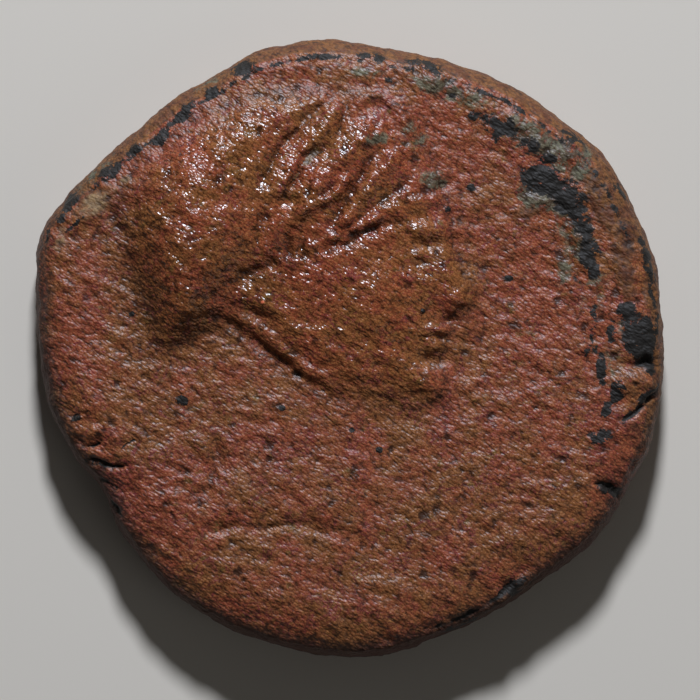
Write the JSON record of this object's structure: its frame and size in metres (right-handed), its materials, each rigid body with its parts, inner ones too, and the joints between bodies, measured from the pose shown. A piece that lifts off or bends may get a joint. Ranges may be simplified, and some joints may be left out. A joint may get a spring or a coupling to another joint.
{
  "type": "ancient greek bronze coin",
  "caption": "Thick, worn struck bronze coin with an irregular round outline, rounded edge, a head in low relief on the upper face and a plain worn underside.",
  "frame": {"origin": "centre of the bounding box's bottom, on the surface that the coin lies on", "axes": "+Z out of the face with the head, +Y towards the top of the head, +X towards the front of its face"},
  "size_m": [0.02, 0.0197, 0.0036],
  "materials": {
    "worn_bronze": "red-brown patinated bronze, glossy and corroded"
  },
  "bodies": {
    "root": {"bronze_coin": "worn_bronze"}
  },
  "joints": []
}
